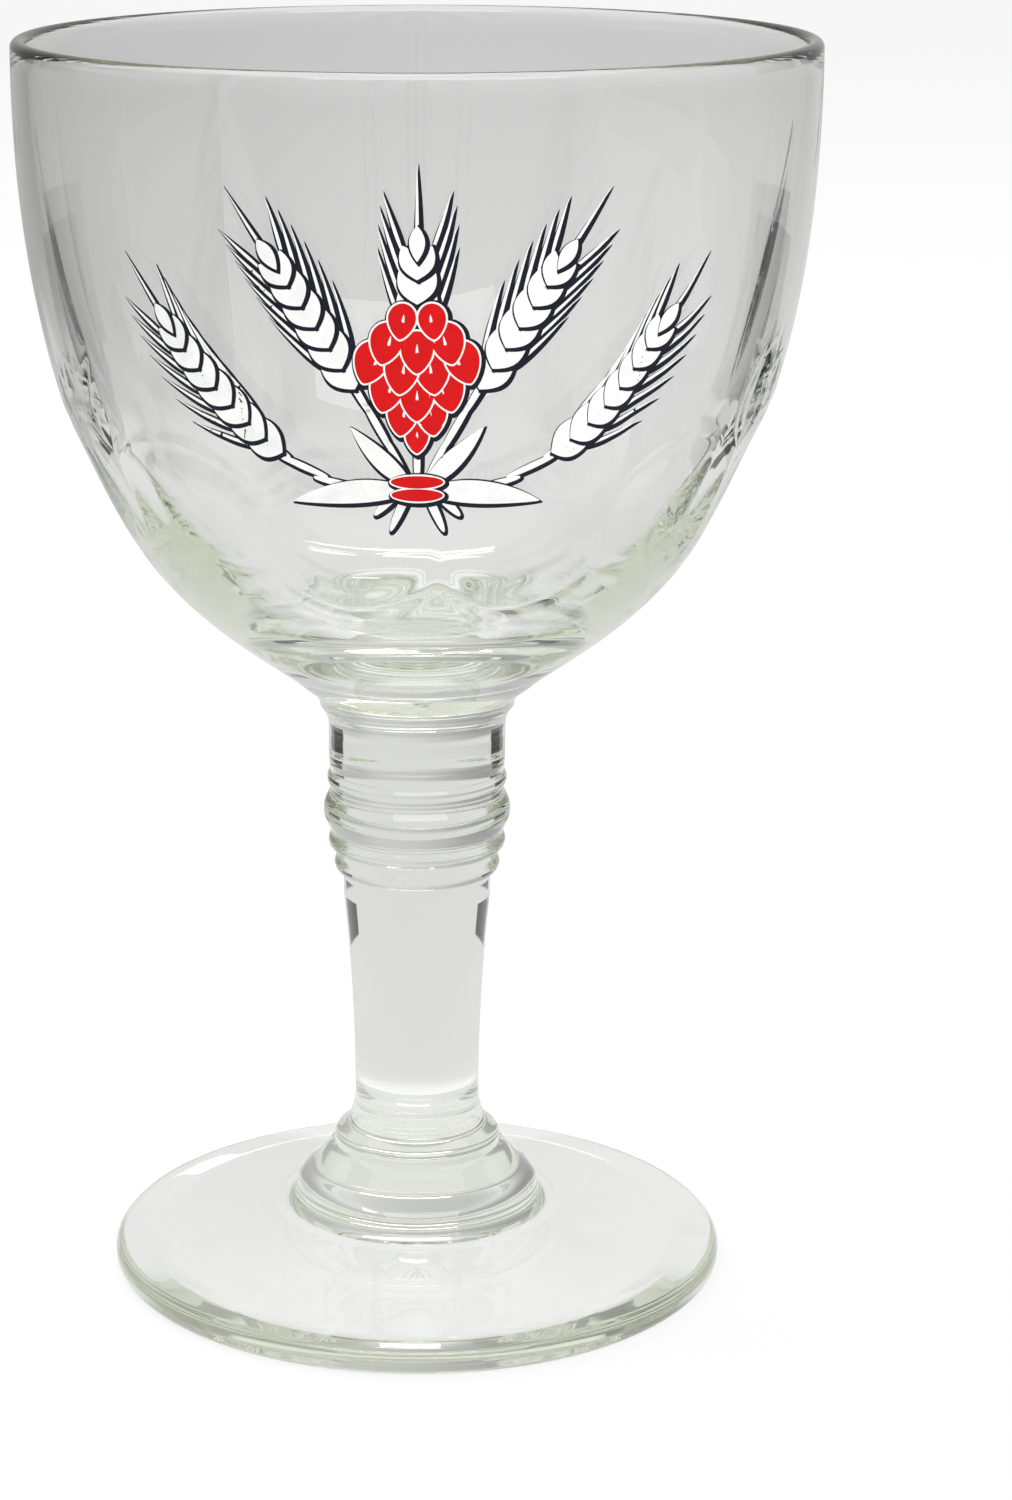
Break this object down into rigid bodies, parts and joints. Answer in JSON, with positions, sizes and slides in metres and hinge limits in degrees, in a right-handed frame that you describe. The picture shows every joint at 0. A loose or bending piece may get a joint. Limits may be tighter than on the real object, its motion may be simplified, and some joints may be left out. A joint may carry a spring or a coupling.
{
  "type": "chalice beer glass",
  "caption": "Clear stemmed beer goblet with a wide cup, arched panels and leaf cuts low on the bowl, a ringed knop, a stepped collar and a round foot.",
  "frame": {"origin": "centre of the foot's resting plane, under the axis of the glass", "axes": "+Z along the glass's axis, up to the rim; -Y is the printed front that faces the viewer"},
  "size_m": [0.1066, 0.1066, 0.172],
  "materials": {
    "bowl": "clear fire-polished soda-lime glass",
    "stem": "clear pressed soda-lime glass, polished",
    "foot": "clear pressed soda-lime glass with a faint green edge",
    "enamel_white": "fired glossy enamel print",
    "enamel_black": "fired glossy enamel print",
    "enamel_red": "fired glossy enamel print"
  },
  "bodies": {
    "root": {"bowl": "bowl", "stem": "stem", "foot": "foot"}
  },
  "joints": []
}
